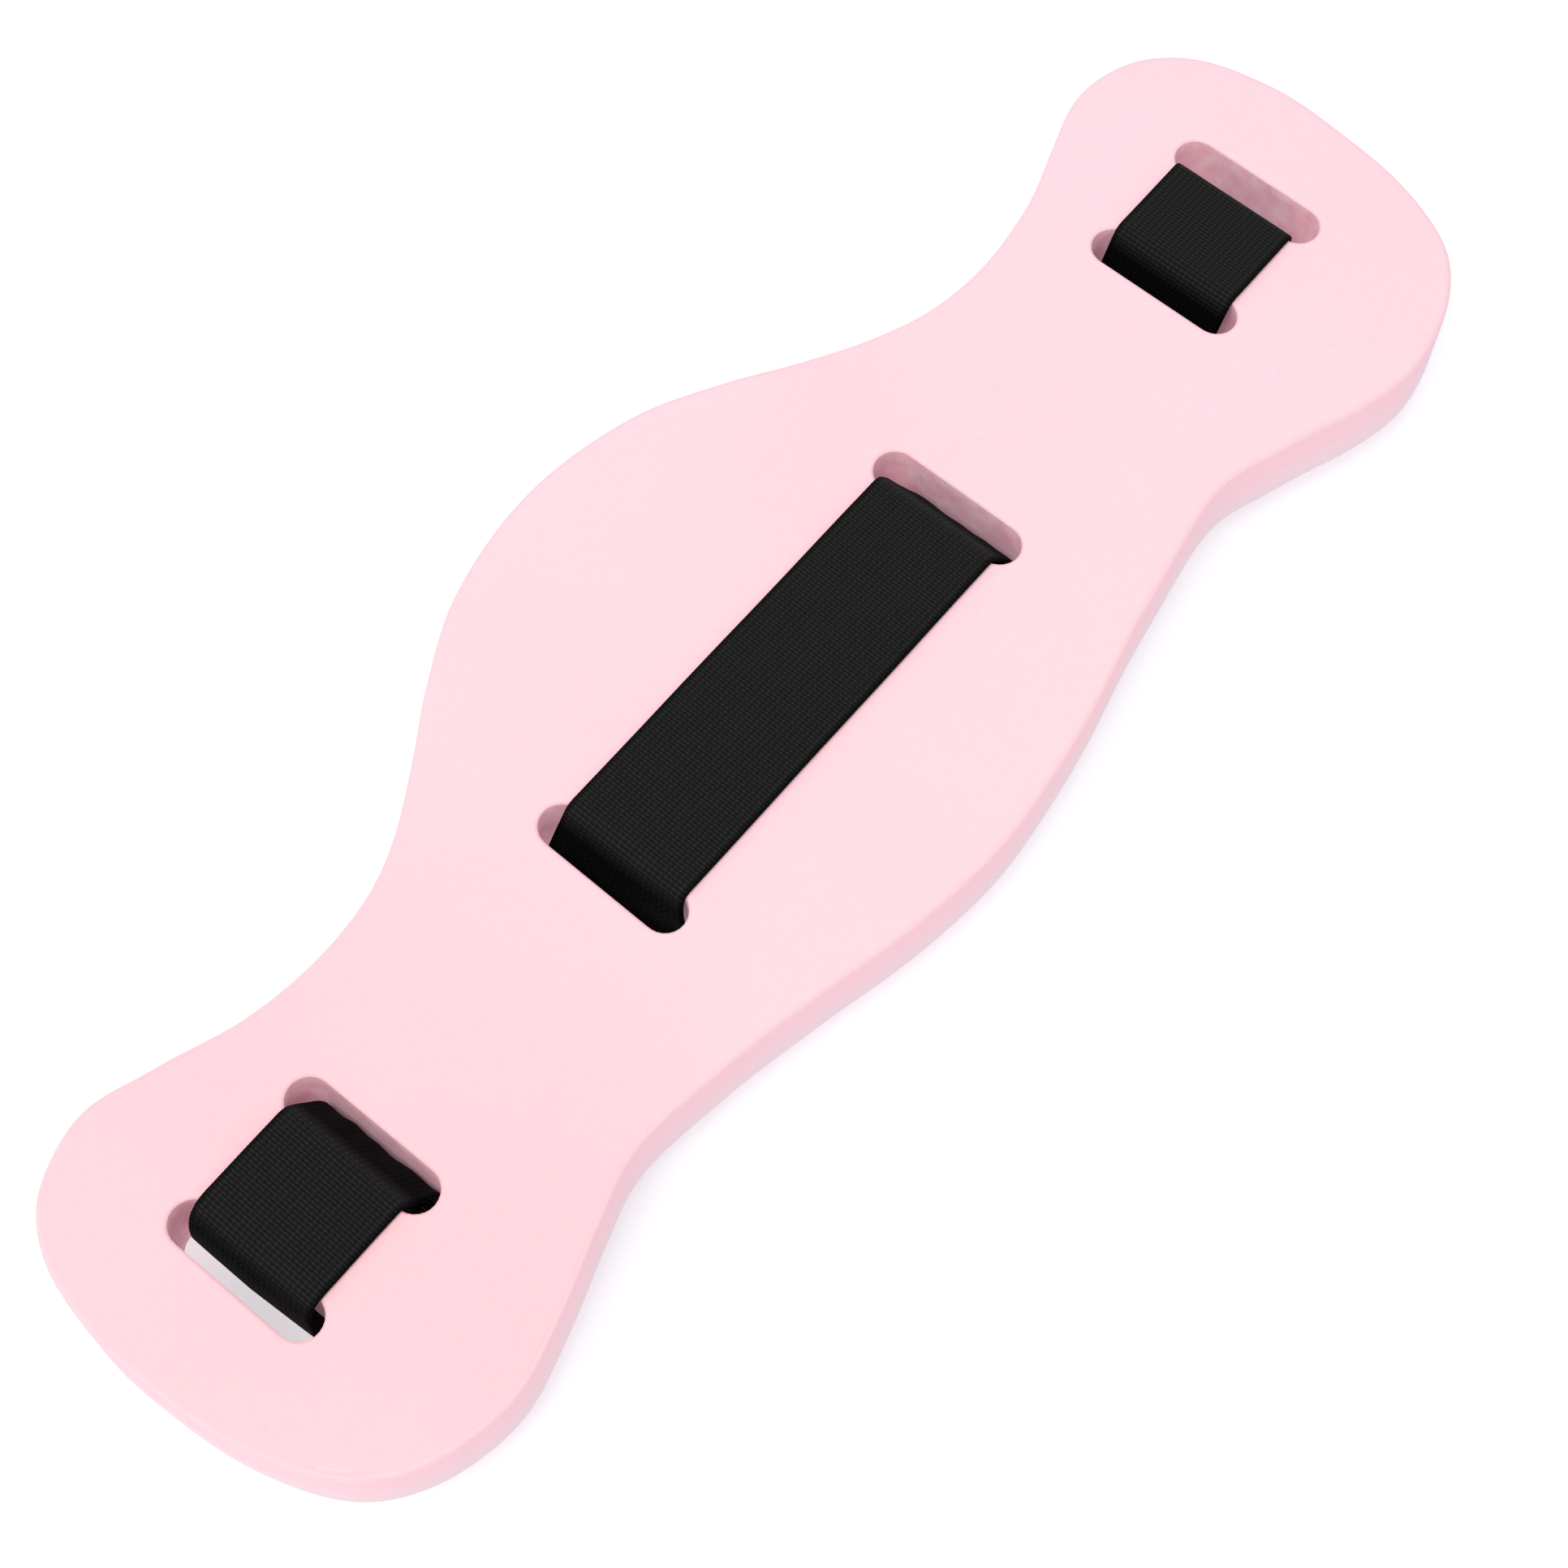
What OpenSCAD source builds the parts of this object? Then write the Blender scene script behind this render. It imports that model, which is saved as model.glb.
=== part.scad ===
// Waist float: a flat foam board with six slots, one 40 mm webbing strap
// laced through them, and a side release buckle on the strap's two ends.
// X runs along the board, +Z is the front face, and Z = 0 is the floor
// that the two buckle halves rest on, under the board.

/* [Board] */
// Thickness of the foam board
board_t = 25.5; // [20:0.5:32]
// Height of the board's back face above the floor
back_z = 14; // [13.8:0.1:18]
// Distance of the slots' line behind the middle of the board
slot_line_y = -10; // [-14:1:-6]
// Width of a slot
slot_w = 12.2; // [11:0.1:14]
// Length of a slot from end to end
slot_l = 48; // [46:1:56]
// Middle of the outer slots
slot_outer_x = 204.6; // [202:0.1:207]
// Middle of the slots inside the end lobes
slot_lobe_x = 163.8; // [160:0.1:166]
// Middle of the two centre slots
slot_centre_x = 69.5; // [64:0.1:74]

/* [Strap] */
// Width of the webbing
web_w = 40; // [38:1:40]
// Thickness of the webbing
web_t = 1.5; // [1.2:0.1:1.5]
// Height of the strap ends' middle plane under the board
run_z = 9.3; // [9.2:0.1:9.4]
// Clear space between webbing and what it lies on
web_gap = 0.3; // [0.2:0.05:0.35]
// Length of the loose end past the buckle's gripping bar
loose_l = 142; // [120:1:145]

/* [Buckle] */
// Width of both buckle halves
buckle_w = 52; // [50:1:56]
// Thickness of both buckle halves
buckle_t = 12; // [11.6:0.1:12]
// Position of the socket's mouth
mouth_x = -96; // [-100:1:-92]
// Position of the plug's shoulder
shoulder_x = 24; // [20:1:28]
// Height inside the socket
cavity_h = 7.6; // [7.2:0.1:7.8]
// Width inside the socket
cavity_w = 44; // [43:0.5:45]

/* [Hidden] */
$fn = 48;
front_z = back_z + board_t;
half_t = web_t / 2;
bend_r = back_z - run_z;
slot_r = slot_w / 2;
// where the webbing hangs down beside the outer bridges
drop_x = slot_outer_x - slot_r + web_gap + half_t;
bend_x = drop_x - bend_r;
mid_z = buckle_t / 2;
// gripping bar, rear bar and end of the plug
grip_x0 = shoulder_x + 14;
grip_x1 = shoulder_x + 19;
grip_z0 = 2.4;
rear_x0 = shoulder_x + 27;
rear_x1 = shoulder_x + 32;
plug_end_x = shoulder_x + 33;
// socket's bar
bar_r = 2.2;
bar_x = mouth_x - 50;
wrap_r = run_z - mid_z;
loose_z = run_z - web_t - 0.1;
loose_x1 = grip_x1 + loose_l;

// Right half of the board's edge, from the middle of the long front bulge
// round the end lobe to the middle of the back bulge.
EDGE = [[0, 81], [36, 75], [61, 62.5], [79, 51], [97, 41], [115, 34.2],
        [135, 31.8], [158, 34.5], [182, 42.5], [203, 47], [221, 42],
        [233, 29], [239, 8], [240, -11], [236.5, -37], [230, -54],
        [220.5, -68], [206, -78], [190, -81], [167, -76.5], [142, -67.5],
        [121, -62.5], [91, -65], [61, -71], [30, -78], [0, -81]];

function mirrored(p) = concat(p, [for (i = [len(p) - 2 : -1 : 1]) [-p[i][0], p[i][1]]]);
// Smooth closed curve through the points p, with k steps between two of them
function knot(a, b) = sqrt(norm(b - a));
function mix(a, b, ta, tb, t) = ((tb - t) * a + (t - ta) * b) / (tb - ta);
function on_span(p0, p1, p2, p3, s) =
    let (t1 = knot(p0, p1), t2 = t1 + knot(p1, p2), t3 = t2 + knot(p2, p3),
         t = t1 + (t2 - t1) * s,
         a1 = mix(p0, p1, 0, t1, t), a2 = mix(p1, p2, t1, t2, t), a3 = mix(p2, p3, t2, t3, t),
         b1 = mix(a1, a2, 0, t2, t), b2 = mix(a2, a3, t1, t3, t))
    mix(b1, b2, t1, t2, t);
function smooth(p, k) =
    [for (i = [0 : len(p) - 1], j = [0 : k - 1])
        on_span(p[(i + len(p) - 1) % len(p)], p[i], p[(i + 1) % len(p)],
                p[(i + 2) % len(p)], j / k)];

// Points of an arc round c, from angle a to angle b
function arc(c, r, a, b, n) = [for (i = [0 : n]) let (t = a + (b - a) * i / n) c + r * [cos(t), sin(t)]];
function unit(v) = v / norm(v);
function side(p, i) =
    let (d = unit(p[min(i + 1, len(p) - 1)] - p[max(i - 1, 0)])) [-d[1], d[0]];
// Outline of a band of thickness t along the open path p
function band(p, t) = concat(
    [for (i = [0 : len(p) - 1]) p[i] + side(p, i) * t / 2],
    [for (i = [len(p) - 1 : -1 : 0]) p[i] - side(p, i) * t / 2]);
function flipped(p) = [for (q = p) [-q[0], q[1]]];

// A piece of webbing along a path of [x, z] points
module webbing(p, w = web_w, t = web_t)
    translate([0, slot_line_y, 0]) rotate([90, 0, 0])
        linear_extrude(w, center = true) polygon(band(p, t));

module slot_2d(x)
    translate([x, slot_line_y]) {
        square([slot_w, slot_l - slot_w], center = true);
        for (s = [-1, 1]) translate([0, s * (slot_l - slot_w) / 2]) circle(slot_r);
    }

// A flat plate with rounded corners
module plate(x0, x1, w, z0, z1, r)
    translate([0, slot_line_y, z0]) linear_extrude(z1 - z0) {
        translate([x0 + r, -w / 2]) square([x1 - x0 - 2 * r, w]);
        translate([x0, -w / 2 + r]) square([x1 - x0, w - 2 * r]);
        for (x = [x0 + r, x1 - r], s = [-1, 1]) translate([x, s * (w / 2 - r)]) circle(r);
    }

// A box between two x, a width over the slot line, and two z
module block(x0, x1, y0, y1, z0, z1)
    translate([x0, slot_line_y + y0, z0]) cube([x1 - x0, y1 - y0, z1 - z0]);

module foam_board()
    color([1.0, 0.86, 0.89]) translate([0, 0, back_z]) linear_extrude(board_t)
        difference() {
            polygon(smooth(mirrored(EDGE), 6));
            for (x = [slot_outer_x, slot_lobe_x, slot_centre_x], s = [-1, 1]) slot_2d(s * x);
        }

// Half of the laced strap, from the middle of the front to the back of the outer slot
over = web_gap + half_t;
ease = 0.6;
turn_r = over + ease;
lean = 22;
centre_wall = slot_centre_x - slot_r;
centre_out = slot_centre_x + slot_r;
lobe_in = slot_lobe_x - slot_r;
lobe_out = slot_lobe_x + slot_r;
outer_wall = slot_outer_x - slot_r;
HALF = concat(
    [[0, front_z + over]],
    arc([centre_wall - ease, front_z - ease], turn_r, 90, lean, 5),
    arc([centre_out + ease, back_z + ease], turn_r, 180 + lean, 270, 5),
    arc([lobe_in - ease, back_z + ease], turn_r, -90, -lean, 5),
    arc([lobe_out + ease, front_z - ease], turn_r, 180 - lean, 90, 5),
    arc([outer_wall - ease, front_z - ease], turn_r, 90, 0, 6),
    [[drop_x, back_z + 1.0]]);
module strap_threaded()
    color([0.07, 0.07, 0.075])
        webbing(concat([for (i = [len(HALF) - 1 : -1 : 1]) [-HALF[i][0], HALF[i][1]]], HALF));

BEND = concat([[drop_x, back_z + 0.9]], arc([bend_x, back_z], bend_r, 0, -90, 10), [[190.1, run_z]]);
module strap_bend_right() color([0.07, 0.07, 0.075]) webbing(BEND);
module strap_bend_left() color([0.07, 0.07, 0.075]) webbing(flipped(BEND));

module strap_run_right() color([0.07, 0.07, 0.075]) webbing([[190, run_z], [60.1, run_z]]);

// Left end: round the socket's bar and sewn back on itself
module strap_end_left()
    color([0.07, 0.07, 0.075]) webbing(concat(
        [[-190, run_z]], arc([bar_x, mid_z], wrap_r, 90, -90, 14),
        arc([bar_x - 3, mid_z - wrap_r + 4], 4, -90, -130, 4),
        [[bar_x - 9.5, run_z - web_t - 0.75], [bar_x - 12.5, loose_z], [bar_x - 38, loose_z]]));

// Box and cross of stitches through the sewn part
module loop_stitching()
    color([0.16, 0.16, 0.17]) for (z = [run_z + half_t + 0.02, loose_z - half_t - 0.37])
        translate([bar_x - 26, slot_line_y, z]) linear_extrude(0.35) {
            for (s = [-1, 1]) {
                translate([-10, s * 16 - 0.4]) square([20.8, 0.8]);
                translate([s * 10 - (s > 0 ? 0 : 0.0), -16]) square([0.8, 32]);
                rotate(s * 58) translate([-18, -0.4]) square([36, 0.8]);
            }
        }

// Strap as it passes the plug's gripping bar
bar_e = 1;
wrap_c = over + bar_e;
WRAP = concat(
    [[60, run_z]],
    arc([grip_x0 - over + 2.4, run_z - 2.4], 2.4, 90, 180, 6),
    arc([grip_x0 + bar_e, grip_z0 + bar_e], wrap_c, 180, 270, 6),
    arc([grip_x1 - bar_e, grip_z0 + bar_e], wrap_c, -90, 0, 6),
    arc([grip_x1 + over + 2.6, loose_z - 2.6], 2.6, 180, 90, 6),
    [[60, loose_z]]);
module strap_ladder_wrap() color([0.07, 0.07, 0.075]) webbing(WRAP);

module strap_loose_end() color([0.07, 0.07, 0.075]) webbing([[60.1, loose_z], [loose_x1 - 25.2, loose_z]]);

// Loose end folded over twice the thickness, as a stop
module strap_hem()
    color([0.07, 0.07, 0.075]) webbing(concat(
        [[loose_x1 - 25, loose_z]],
        arc([loose_x1 - 1.6, loose_z - 0.8], 0.8, 90, -90, 8),
        [[loose_x1 - 24, loose_z - 1.6]]));

module hem_stitching()
    color([0.16, 0.16, 0.17]) for (x = [-8, -20])
        block(loose_x1 + x - 0.4, loose_x1 + x + 0.4, -17, 17,
              loose_z - 1.6 - half_t - 0.37, loose_z - 1.6 - half_t - 0.02);

// Socket half: open at the mouth and at the two side windows
module buckle_socket()
    color([0.09, 0.09, 0.1]) difference() {
        union() {
            plate(mouth_x - 41, mouth_x, buckle_w, 0, buckle_t, 4);
            for (s = [-1, 1])
                block(bar_x - 2.4, mouth_x - 37, s > 0 ? buckle_w / 2 - 4.5 : -buckle_w / 2,
                      s > 0 ? buckle_w / 2 : -buckle_w / 2 + 4.5, 1.6, buckle_t - 1.6);
            translate([bar_x, slot_line_y, mid_z]) rotate([90, 0, 0])
                cylinder(h = buckle_w - 1, r = bar_r, center = true);
        }
        // room for the plug
        block(mouth_x - 31, mouth_x + 1, -cavity_w / 2, cavity_w / 2,
              mid_z - cavity_h / 2, mid_z + cavity_h / 2);
        // side windows
        for (s = [-1, 1]) {
            block(mouth_x - 24, mouth_x - 8, s > 0 ? cavity_w / 2 - 1 : -buckle_w / 2 - 1,
                  s > 0 ? buckle_w / 2 + 1 : -cavity_w / 2 + 1,
                  mid_z - cavity_h / 2, mid_z + cavity_h / 2);
            // finger scallops over the windows
            translate([mouth_x - 16, slot_line_y + s * (buckle_w / 2 + 16), -1])
                cylinder(h = buckle_t + 2, r = 19);
        }
        // shallow finger dish on both faces
        for (z = [buckle_t + 38.8, -38.8])
            translate([mouth_x - 20, slot_line_y, z]) rotate([90, 0, 0])
                cylinder(h = 26, r = 39.6, center = true, $fn = 96);
    }

// Bar across the plug, its four long edges rounded
module round_bar(x0, x1, z0, z1, r)
    translate([0, slot_line_y, 0]) rotate([90, 0, 0])
        linear_extrude(buckle_w - 4, center = true) {
            translate([x0 + r, z0]) square([x1 - x0 - 2 * r, z1 - z0]);
            translate([x0, z0 + r]) square([x1 - x0, z1 - z0 - 2 * r]);
            for (x = [x0 + r, x1 - r], z = [z0 + r, z1 - r]) translate([x, z]) circle(r);
        }

// Plug half: shoulder, guide blade and the ladder that grips the strap
module buckle_plug()
    color([0.09, 0.09, 0.1]) difference() {
        union() {
            plate(shoulder_x, shoulder_x + 7, buckle_w, 0, buckle_t, 2.5);
            for (s = [-1, 1])
                block(shoulder_x + 5, plug_end_x, s > 0 ? buckle_w / 2 - 4.5 : -buckle_w / 2 + 0.5,
                      s > 0 ? buckle_w / 2 - 0.5 : -buckle_w / 2 + 4.5, 0, 10.4);
            // gripping bar and rear bar, with rounded edges
            round_bar(grip_x0, grip_x1, grip_z0, 5.6, 1);
            round_bar(rear_x0, rear_x1, 2.2, 6.4, 1.6);
            // guide blade
            block(shoulder_x - 20, shoulder_x + 2, -2.5, 2.5, mid_z - 2.6, mid_z + 2.6);
            translate([shoulder_x - 20, slot_line_y, mid_z - 2.6]) cylinder(h = 5.2, r = 2.5);
            // knuckle seats
            for (s = [-1, 1]) block(shoulder_x - 1.6, shoulder_x + 2, s > 0 ? 9.5 : -20.5, s > 0 ? 20.5 : -9.5,
                                    mid_z - 3, mid_z + 3);
        }
        for (s = [-1, 1])
            translate([shoulder_x - 2.6, slot_line_y + s * 15, -1]) cylinder(h = buckle_t + 2, r = 3.06);
    }

// One springy prong, for side s
PRONG = [[0, 13.2], [-4, 13], [-12, 13.4], [-20, 12.6], [-24.4, 12.2], [-25.8, 13.4],
         [-25.6, 15.4], [-24, 18], [-21, 22.4], [-19, 24.3], [-16.4, 25.2], [-11, 25.2], [-9.4, 24.6],
         [-9.2, 22.4], [-10.4, 20], [-12, 18.8], [-10, 17.6], [-5, 17.2], [0, 16.8]];
module prong(s)
    color([0.09, 0.09, 0.1]) translate([shoulder_x - 2.6, slot_line_y, mid_z - 2.9]) {
        linear_extrude(5.8) polygon([for (q = PRONG) [q[0], s * q[1]]]);
        translate([0, s * 15, 0]) cylinder(h = 5.8, r = 3);
    }
module prong_left() prong(1);
module prong_right() prong(-1);

// Loop that holds the loose end against the strap
module strap_keeper()
    color([0.09, 0.09, 0.1]) difference() {
        plate(66, 78, 47.5, loose_z - half_t - 2.0, run_z + half_t + 1.8, 2);
        block(65, 79, -20.6, 20.6, loose_z - half_t - 0.4, run_z + half_t + 0.4);
    }

foam_board();
strap_threaded();
strap_bend_right();
strap_run_right();
strap_bend_left();
strap_end_left();
strap_ladder_wrap();
strap_loose_end();
strap_hem();
loop_stitching();
hem_stitching();
buckle_socket();
buckle_plug();
prong_left();
prong_right();
strap_keeper();
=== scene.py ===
"""Waist float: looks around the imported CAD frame. Metres, +Z up, same frame as the CAD."""
import math

import bmesh
import bpy
import numpy as np
from mathutils import Matrix, Vector, noise
from mathutils.geometry import delaunay_2d_cdt


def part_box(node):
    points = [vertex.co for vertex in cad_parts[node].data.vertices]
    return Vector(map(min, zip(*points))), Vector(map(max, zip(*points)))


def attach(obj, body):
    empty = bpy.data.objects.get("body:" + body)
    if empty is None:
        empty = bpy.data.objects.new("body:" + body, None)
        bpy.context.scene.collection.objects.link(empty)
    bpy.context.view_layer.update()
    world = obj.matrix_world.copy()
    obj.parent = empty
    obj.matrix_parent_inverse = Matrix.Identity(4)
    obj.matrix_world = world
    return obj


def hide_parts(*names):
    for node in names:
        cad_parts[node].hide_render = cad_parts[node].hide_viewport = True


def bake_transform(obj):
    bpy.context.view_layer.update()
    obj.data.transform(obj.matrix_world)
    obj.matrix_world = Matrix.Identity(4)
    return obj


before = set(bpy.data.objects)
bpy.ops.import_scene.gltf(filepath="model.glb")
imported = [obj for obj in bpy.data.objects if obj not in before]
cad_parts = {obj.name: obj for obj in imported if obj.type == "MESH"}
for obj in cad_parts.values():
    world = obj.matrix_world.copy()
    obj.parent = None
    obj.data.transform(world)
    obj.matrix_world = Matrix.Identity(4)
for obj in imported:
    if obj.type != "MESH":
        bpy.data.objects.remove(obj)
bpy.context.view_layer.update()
MM = 0.001

# ---------------------------------------------------------------- sizes, from the CAD nodes
b_lo, b_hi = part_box("foam_board")
BACK, FRONT = b_lo.z / MM, b_hi.z / MM
s_lo, s_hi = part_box("strap_run_right")
WEB_W = (s_hi.y - s_lo.y) / MM
WEB_T = (s_hi.z - s_lo.z) / MM
YS = (s_hi.y + s_lo.y) / 2 / MM  # the slots' line
RUN_Z = (s_hi.z + s_lo.z) / 2 / MM
l_lo, l_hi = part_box("strap_loose_end")
LOOSE_Z = (l_hi.z + l_lo.z) / 2 / MM
h_lo, h_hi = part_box("strap_hem")
SLOT_W, SLOT_L = 12.2, 48.0
OUTER_X, LOBE_X, CENTRE_X = 204.6, 163.8, 69.5
SLOT_R = SLOT_W / 2
OUTER_WALL, LOBE_OUT, LOBE_IN = OUTER_X - SLOT_R, LOBE_X + SLOT_R, LOBE_X - SLOT_R
CENTRE_WALL, CENTRE_OUT = CENTRE_X - SLOT_R, CENTRE_X + SLOT_R
SHOULDER, MOUTH, BAR_X = 24.0, -96.0, -146.0
MID_Z = 6.0

# ---------------------------------------------------------------- camera
cam = bpy.data.cameras.new("camera")
cam_obj = bpy.data.objects.new("camera", cam)
bpy.context.scene.collection.objects.link(cam_obj)
cam.sensor_width = 36.0
cam.lens = 68.55
cam.clip_start, cam.clip_end = 0.02, 30.0
right = Vector((0.6383, -0.7698, 0.0049))
down = Vector((-0.6974, -0.5809, -0.4198))
ahead = Vector((0.3260, 0.2646, -0.9076))
ahead.normalize()
right = (right - ahead * right.dot(ahead)).normalized()
down = ahead.cross(right).normalized()
rot = Matrix((right, -down, -ahead)).transposed().to_4x4()
cam_obj.matrix_world = Matrix.Translation(Vector((-0.27444, -0.23149, 0.73931))) @ rot
bpy.context.scene.camera = cam_obj


# ---------------------------------------------------------------- helpers
def new_mesh(name, verts, faces, smooth=True):
    me = bpy.data.meshes.new(name)
    me.from_pydata([tuple(map(float, v)) for v in verts], [], [tuple(map(int, f)) for f in faces])
    me.validate()
    me.update()
    ob = bpy.data.objects.new(name, me)
    bpy.context.scene.collection.objects.link(ob)
    if smooth:
        me.polygons.foreach_set("use_smooth", [True] * len(me.polygons))
    return ob


def fix_normals(ob):
    bm = bmesh.new()
    bm.from_mesh(ob.data)
    bmesh.ops.recalc_face_normals(bm, faces=bm.faces)
    bm.to_mesh(ob.data)
    bm.free()


def catmull(p, k, closed=True):
    """Centripetal curve through the points p, k steps to each."""
    p = [np.array(q, float) for q in p]
    n = len(p)
    out = []
    spans = range(n) if closed else range(n - 1)
    for i in spans:
        if closed:
            q = [p[(i - 1) % n], p[i], p[(i + 1) % n], p[(i + 2) % n]]
        else:
            q = [
                p[i - 1] if i > 0 else 2 * p[0] - p[1],
                p[i],
                p[i + 1],
                p[i + 2] if i + 2 < n else 2 * p[-1] - p[-2],
            ]
        t = [0.0]
        for a, b in zip(q, q[1:]):
            t.append(t[-1] + max(np.linalg.norm(b - a), 1e-9) ** 0.5)
        for j in range(k):
            s = t[1] + (t[2] - t[1]) * j / k
            mix = lambda a, b, ta, tb: ((tb - s) * a + (s - ta) * b) / (tb - ta)
            a1, a2, a3 = mix(q[0], q[1], t[0], t[1]), mix(q[1], q[2], t[1], t[2]), mix(q[2], q[3], t[2], t[3])
            b1, b2 = mix(a1, a2, t[0], t[2]), mix(a2, a3, t[1], t[3])
            out.append(mix(b1, b2, t[1], t[2]))
    if not closed:
        out.append(p[-1])
    return np.array(out)


def even(p, step, closed=False):
    """The polyline p at even steps of about step."""
    p = np.array(p, float)
    q = np.vstack([p, p[:1]]) if closed else p
    seg = np.linalg.norm(np.diff(q, axis=0), axis=1)
    at = np.concatenate([[0], np.cumsum(seg)])
    n = max(2, int(round(at[-1] / step)))
    want = np.linspace(0, at[-1], n + 1)
    if closed:
        want = want[:-1]
    return np.stack([np.interp(want, at, q[:, i]) for i in range(q.shape[1])], 1)


def arc(cx, cz, r, a, b, n=8):
    return [
        (cx + r * math.cos(math.radians(a + (b - a) * i / n)), cz + r * math.sin(math.radians(a + (b - a) * i / n)))
        for i in range(n + 1)
    ]


# ---------------------------------------------------------------- materials
def nodes_of(mat):
    mat.use_nodes = True
    nt = mat.node_tree
    return nt, nt.nodes, nt.links, nt.nodes["Principled BSDF"]


def ramp(nodes, stops):
    r = nodes.new("ShaderNodeValToRGB")
    while len(r.color_ramp.elements) > 1:
        r.color_ramp.elements.remove(r.color_ramp.elements[-1])
    for i, (pos, col) in enumerate(stops):
        e = r.color_ramp.elements[0] if i == 0 else r.color_ramp.elements.new(pos)
        e.position = pos
        e.color = (*col, 1)
    return r


def math_node(nodes, op, a=None, b=None, clamp=False):
    m = nodes.new("ShaderNodeMath")
    m.operation = op
    m.use_clamp = clamp
    for i, v in enumerate((a, b)):
        if isinstance(v, (int, float)):
            m.inputs[i].default_value = v
    return m


def height_share(N, L, co):
    """0 at the back face of the float, 1 at its front."""
    sep = N.new("ShaderNodeSeparateXYZ")
    L.new(co.outputs["Object"], sep.inputs["Vector"])
    h = N.new("ShaderNodeMapRange")
    h.inputs["From Min"].default_value = BACK * MM
    h.inputs["From Max"].default_value = FRONT * MM
    L.new(sep.outputs["Z"], h.inputs["Value"])
    return h.outputs["Result"]


def foam_material(name, tones, blotch=0.55, patch=9.0, painted_light_stops=None):
    """The height stops, if given, are (share of the thickness, colour) up the cut side: painted shade and painted floor
    bounce light.
    """
    mat = bpy.data.materials.new(name)
    nt, N, L, bsdf = nodes_of(mat)
    co = N.new("ShaderNodeTexCoord")
    # broad, faint unevenness of the dye
    broad = N.new("ShaderNodeTexNoise")
    broad.inputs["Scale"].default_value = patch
    broad.inputs["Detail"].default_value = 3.0
    L.new(co.outputs["Object"], broad.inputs["Vector"])
    stain = ramp(N, list(zip((0.32, 0.5, 0.68), tones)))
    L.new(broad.outputs["Fac"], stain.inputs["Fac"])
    # the colour is a little pinker towards the -X end of the float
    sep = N.new("ShaderNodeSeparateXYZ")
    L.new(co.outputs["Object"], sep.inputs["Vector"])
    along = N.new("ShaderNodeMapRange")
    along.inputs["From Min"].default_value = -0.24
    along.inputs["From Max"].default_value = 0.24
    L.new(sep.outputs["X"], along.inputs["Value"])
    drift = ramp(N, [(0.0, (1.0, 0.925, 0.93)), (0.13, (1.0, 0.913, 0.925)), (0.24, (1.0, 0.955, 0.955)), (0.35, (1.0, 1.0, 1.0))])
    L.new(along.outputs["Result"], drift.inputs["Fac"])
    tone = N.new("ShaderNodeMix")
    tone.data_type = "RGBA"
    tone.blend_type = "MULTIPLY"
    tone.inputs["Factor"].default_value = 1.0
    L.new(stain.outputs["Color"], tone.inputs["A"])
    L.new(drift.outputs["Color"], tone.inputs["B"])
    # closed cells
    cells = N.new("ShaderNodeTexVoronoi")
    cells.feature = "SMOOTH_F1"
    cells.inputs["Scale"].default_value = 1500.0
    L.new(co.outputs["Object"], cells.inputs["Vector"])
    fine = N.new("ShaderNodeTexNoise")
    fine.inputs["Scale"].default_value = 520.0
    fine.inputs["Detail"].default_value = 4.0
    fine.inputs["Roughness"].default_value = 0.6
    L.new(co.outputs["Object"], fine.inputs["Vector"])
    speck = ramp(N, [(0.30, (0.955, 0.945, 0.95)), (0.55, (1.0, 1.0, 1.0))])
    L.new(fine.outputs["Fac"], speck.inputs["Fac"])
    mul = N.new("ShaderNodeMix")
    mul.data_type = "RGBA"
    mul.blend_type = "MULTIPLY"
    mul.inputs["Factor"].default_value = blotch
    # on the cut side the height stops mostly replace the colour: painted shade and painted floor bounce light
    if painted_light_stops:
        up = ramp(N, painted_light_stops)
        L.new(height_share(N, L, co), up.inputs["Fac"])
        side = N.new("ShaderNodeMix")
        side.data_type = "RGBA"
        side.inputs["Factor"].default_value = 0.85
        L.new(tone.outputs["Result"], side.inputs["A"])
        L.new(up.outputs["Color"], side.inputs["B"])
        L.new(side.outputs["Result"], mul.inputs["A"])
    else:
        L.new(tone.outputs["Result"], mul.inputs["A"])
    L.new(speck.outputs["Color"], mul.inputs["B"])
    L.new(mul.outputs["Result"], bsdf.inputs["Base Color"])
    rough = N.new("ShaderNodeMapRange")
    rough.inputs["From Min"].default_value = 0.3
    rough.inputs["From Max"].default_value = 0.7
    rough.inputs["To Min"].default_value = 0.58
    rough.inputs["To Max"].default_value = 0.72
    L.new(fine.outputs["Fac"], rough.inputs["Value"])
    L.new(rough.outputs["Result"], bsdf.inputs["Roughness"])
    b1 = N.new("ShaderNodeBump")
    b1.inputs["Strength"].default_value = 0.22
    b1.inputs["Distance"].default_value = 0.00025
    L.new(cells.outputs["Distance"], b1.inputs["Height"])
    b2 = N.new("ShaderNodeBump")
    b2.inputs["Strength"].default_value = 0.25
    b2.inputs["Distance"].default_value = 0.00035
    L.new(fine.outputs["Fac"], b2.inputs["Height"])
    L.new(b1.outputs["Normal"], b2.inputs["Normal"])
    L.new(b2.outputs["Normal"], bsdf.inputs["Normal"])
    bsdf.inputs["Specular IOR Level"].default_value = 0.35
    bsdf.inputs["Sheen Weight"].default_value = 0.08
    bsdf.inputs["Sheen Roughness"].default_value = 0.5
    return mat


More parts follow.
